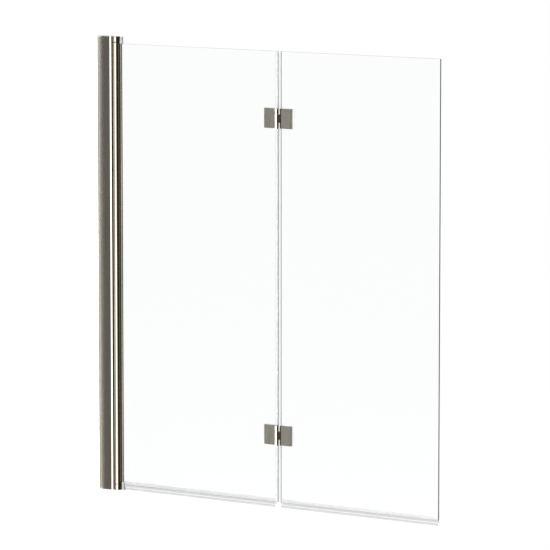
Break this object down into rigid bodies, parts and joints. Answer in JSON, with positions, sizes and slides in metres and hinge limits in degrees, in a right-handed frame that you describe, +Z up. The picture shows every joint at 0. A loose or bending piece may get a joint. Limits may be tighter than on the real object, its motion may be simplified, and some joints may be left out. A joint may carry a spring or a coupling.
{
  "type": "pivot tub door",
  "caption": "Frameless folding bath screen: wall jamb, round pivot post and clear glass panels joined by glass-to-glass hinges, with clear seals.",
  "frame": {"origin": "on the wall plane, in the middle of the jamb's bottom cap, at the height of the bath rim", "axes": "+X out from the wall along the closed glass, +Y from the room into the bath, +Z up"},
  "size_m": [1.22, 0.0429, 1.4],
  "materials": {
    "brushed_nickel": "brushed nickel",
    "post_nickel": "brushed nickel, drawn",
    "hinge_nickel": "brushed nickel on castings",
    "mill_aluminium": "mill finish",
    "stainless_steel": "turned stainless steel",
    "clear_glass": "clear toughened glass",
    "clear_vinyl": "clear extruded vinyl",
    "grey_nylon": "moulded nylon",
    "black_nylon": "moulded nylon",
    "black_rubber": "moulded rubber"
  },
  "bodies": {
    "jamb_body": {"wall_channel": "mill_aluminium", "jamb": "brushed_nickel", "jamb_top_cap": "brushed_nickel", "jamb_bottom_cap": "brushed_nickel", "top_pivot_bracket": "post_nickel", "bottom_pivot_bracket": "post_nickel", "bracket_screws": "stainless_steel", "jamb_screws": "stainless_steel", "jamb_screw_covers": "brushed_nickel", "top_bush": "black_nylon", "bottom_bush": "black_nylon", "jamb_wiper_seal": "clear_vinyl"},
    "inner_leaf": {"pivot_post": "post_nickel", "top_post_plug": "black_nylon", "bottom_post_plug": "black_nylon", "top_end_block": "grey_nylon", "bottom_end_block": "grey_nylon", "top_pivot_pin": "stainless_steel", "bottom_pivot_pin": "stainless_steel", "glazing_gasket": "black_rubber", "inner_glass": "clear_glass", "seam_seal": "clear_vinyl", "inner_drip_seal": "clear_vinyl", "upper_hinge_inner_plate": "hinge_nickel", "upper_hinge_inner_back": "hinge_nickel", "upper_hinge_inner_gaskets": "black_rubber", "upper_hinge_inner_screws": "stainless_steel", "upper_hinge_pin": "stainless_steel", "upper_hinge_washers": "grey_nylon", "lower_hinge_inner_plate": "hinge_nickel", "lower_hinge_inner_back": "hinge_nickel", "lower_hinge_inner_gaskets": "black_rubber", "lower_hinge_inner_screws": "stainless_steel", "lower_hinge_pin": "stainless_steel", "lower_hinge_washers": "grey_nylon"},
    "outer_leaf": {"upper_hinge_outer_plate": "hinge_nickel", "upper_hinge_outer_back": "hinge_nickel", "upper_hinge_outer_gaskets": "black_rubber", "upper_hinge_outer_screws": "stainless_steel", "lower_hinge_outer_plate": "hinge_nickel", "lower_hinge_outer_back": "hinge_nickel", "lower_hinge_outer_gaskets": "black_rubber", "lower_hinge_outer_screws": "stainless_steel", "outer_glass": "clear_glass", "outer_drip_seal": "clear_vinyl"}
  },
  "joints": [
    {"name": "post_pivot", "type": "hinge", "parent": "jamb_body", "child": "inner_leaf", "pos_m": [0.06525, 0, 0.0185], "axis": [0, 0, 1], "range_deg": [-90, 90]},
    {"name": "panel_fold", "type": "hinge", "parent": "inner_leaf", "child": "outer_leaf", "pos_m": [0.66175, -0.0184, 0.2235], "axis": [0, 0, -1], "range_deg": [0, 180]}
  ]
}
